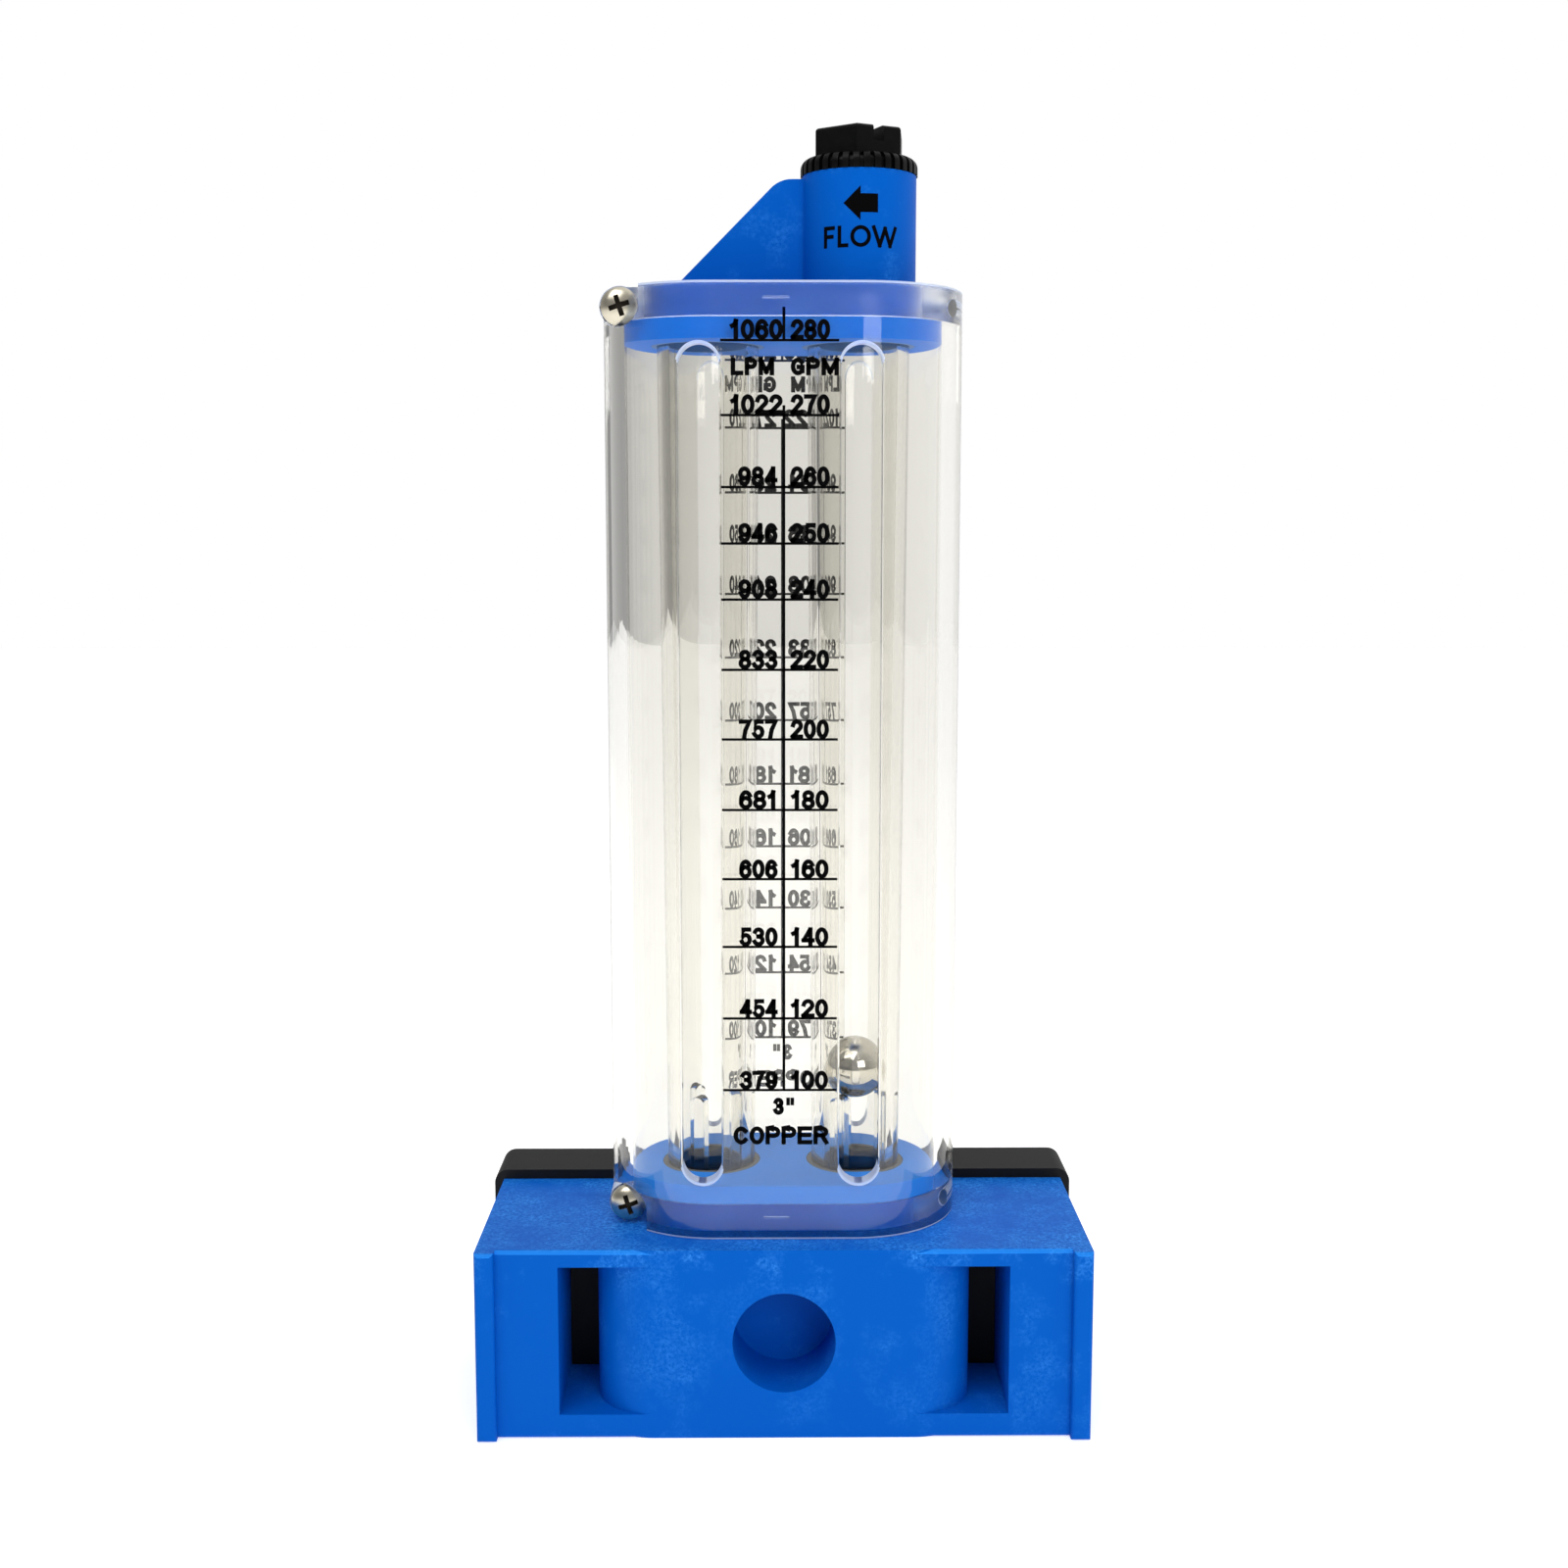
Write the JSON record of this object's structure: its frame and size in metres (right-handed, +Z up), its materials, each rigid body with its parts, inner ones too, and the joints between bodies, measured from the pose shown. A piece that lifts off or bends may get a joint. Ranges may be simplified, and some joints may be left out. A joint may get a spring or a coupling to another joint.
{
  "type": "pitot-type rotameter",
  "caption": "Side-mounted variable-area flow meter: clear slotted body with two tapered tubes and a steel ball on a moulded base with a rubber pipe saddle and a pitot probe.",
  "frame": {"origin": "underside of the base, midway between its ends, in the plane of the two tubes", "axes": "+X to the upstream end, +Y towards the pipe, +Z up along the tubes"},
  "size_m": [0.1292, 0.0982, 0.2637],
  "materials": {
    "blue_plastic": "moulded, satin, lightly scuffed",
    "clear_plastic": "moulded, polished",
    "black_rubber": "moulded, matt",
    "grey_rubber": "moulded, matt",
    "black_plastic": "moulded, satin",
    "ball_steel": "ground and polished",
    "screw_steel": "plain stainless steel",
    "ink": "screen-printed"
  },
  "bodies": {
    "meter_body": {"base_block": "blue_plastic", "saddle_gasket": "black_rubber", "pitot_probe": "blue_plastic", "probe_seal": "black_rubber", "front_shell_half": "clear_plastic", "rear_shell_half": "clear_plastic", "metering_tube": "clear_plastic", "return_tube": "clear_plastic", "metering_tube_lower_seal": "grey_rubber", "metering_tube_upper_seal": "grey_rubber", "return_tube_lower_seal": "grey_rubber", "return_tube_upper_seal": "grey_rubber", "top_cap": "blue_plastic", "front_bottom_screw": "screw_steel", "front_top_screw": "screw_steel", "rear_bottom_screw": "screw_steel", "rear_top_screw": "screw_steel", "front_scale_print": "ink", "rear_scale_print": "ink", "flow_mark": "ink"},
    "ball": {"float_ball": "ball_steel"},
    "plug_ring": {"access_plug_seal": "black_rubber"},
    "plug": {"access_plug": "black_plastic"}
  },
  "joints": [
    {"name": "ball_rise", "type": "slide", "parent": "meter_body", "child": "ball", "axis": [0, 0, 1], "range_m": [0, 0.1517]},
    {"name": "plug_lift", "type": "slide", "parent": "meter_body", "child": "plug_ring", "axis": [0, 0, 1], "range_m": [0, 0.0135]},
    {"name": "plug_turn", "type": "hinge", "parent": "plug_ring", "child": "plug", "pos_m": [0.0154, 0, 0.2548], "axis": [0, 0, 1], "range_deg": [0, 2430.5]}
  ],
  "couplings": [
    {"joint": "plug_turn", "follows": "plug_lift", "rad_per_m": 3141.6}
  ]
}
